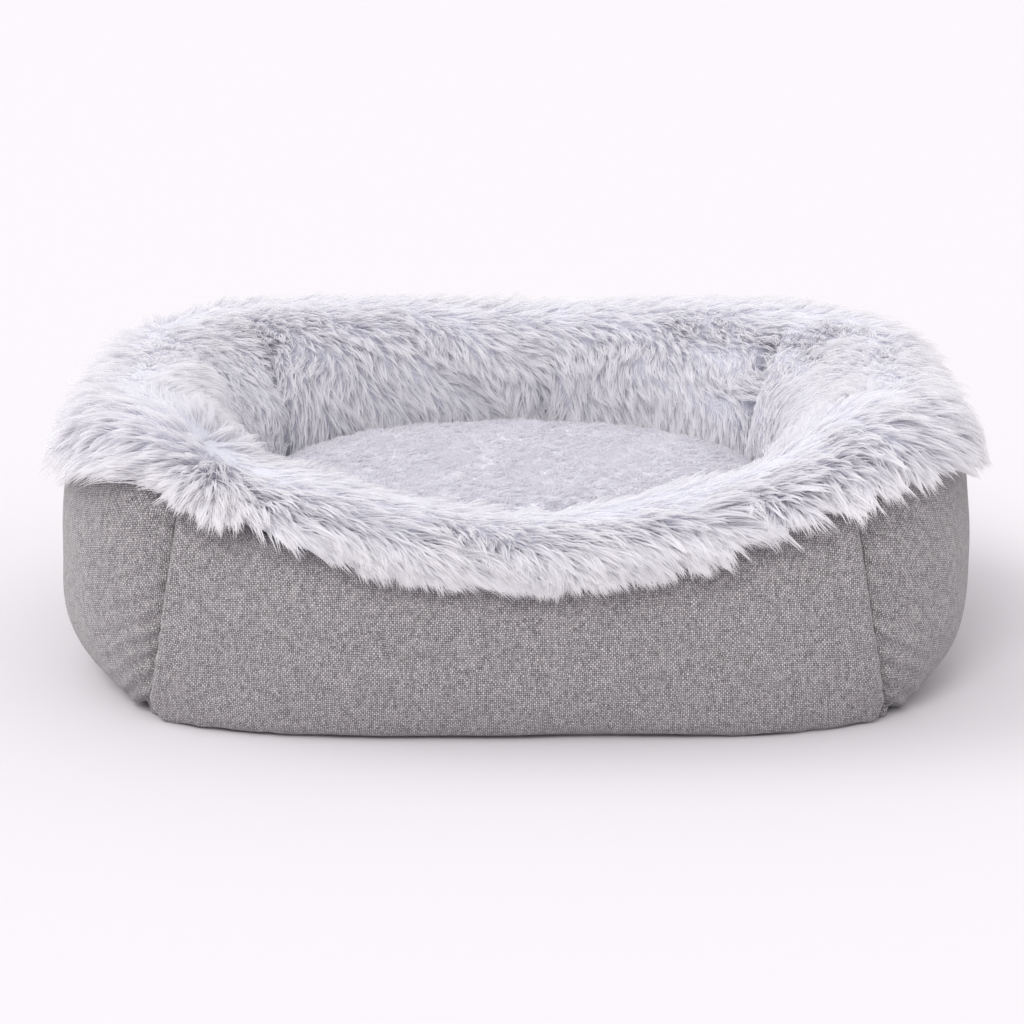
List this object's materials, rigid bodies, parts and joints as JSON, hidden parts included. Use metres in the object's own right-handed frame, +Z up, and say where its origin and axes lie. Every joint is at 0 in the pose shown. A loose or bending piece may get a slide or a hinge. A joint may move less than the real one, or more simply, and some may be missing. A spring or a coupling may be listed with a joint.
{
  "type": "bolster pet bed",
  "caption": "Rounded pet bed with grey woven walls, a long white pile collar over the rim, a lowered front entry and a loose oval cushion",
  "frame": {"origin": "on the floor under the middle of the bed", "axes": "X to the bed's right along its width, Y from the lowered entry to the back, Z up"},
  "size_m": [0.561, 0.4585, 0.1782],
  "materials": {
    "woven_cloth": "heather grey plain weave with slubs, matte",
    "long_pile": "long white-grey faux fur, soft sheen",
    "short_pile": "short plush pile, matte",
    "base_cloth": "plain matte non-woven cloth",
    "fibre_filling": "white polyester fibre",
    "grip_rubber": "matte printed rubber"
  },
  "bodies": {
    "bed": {"front_outer_panel": "woven_cloth", "back_outer_panel": "woven_cloth", "left_outer_panel": "woven_cloth", "right_outer_panel": "woven_cloth", "front_fur_lining": "long_pile", "left_fur_lining": "long_pile", "right_fur_lining": "long_pile", "back_left_fur_lining": "long_pile", "back_right_fur_lining": "long_pile", "front_wall_filling": "fibre_filling", "back_wall_filling": "fibre_filling", "left_wall_filling": "fibre_filling", "right_wall_filling": "fibre_filling", "base_panel": "base_cloth", "grip_dots": "grip_rubber", "base_wadding": "fibre_filling", "well_floor_lining": "base_cloth"},
    "cushion": {"cushion_fur_top": "short_pile", "cushion_underside": "base_cloth", "cushion_filling": "fibre_filling"}
  },
  "joints": [
    {"name": "cushion_lift", "type": "slide", "parent": "bed", "child": "cushion", "axis": [0, 0, 1], "range_m": [0, 0.18]}
  ]
}
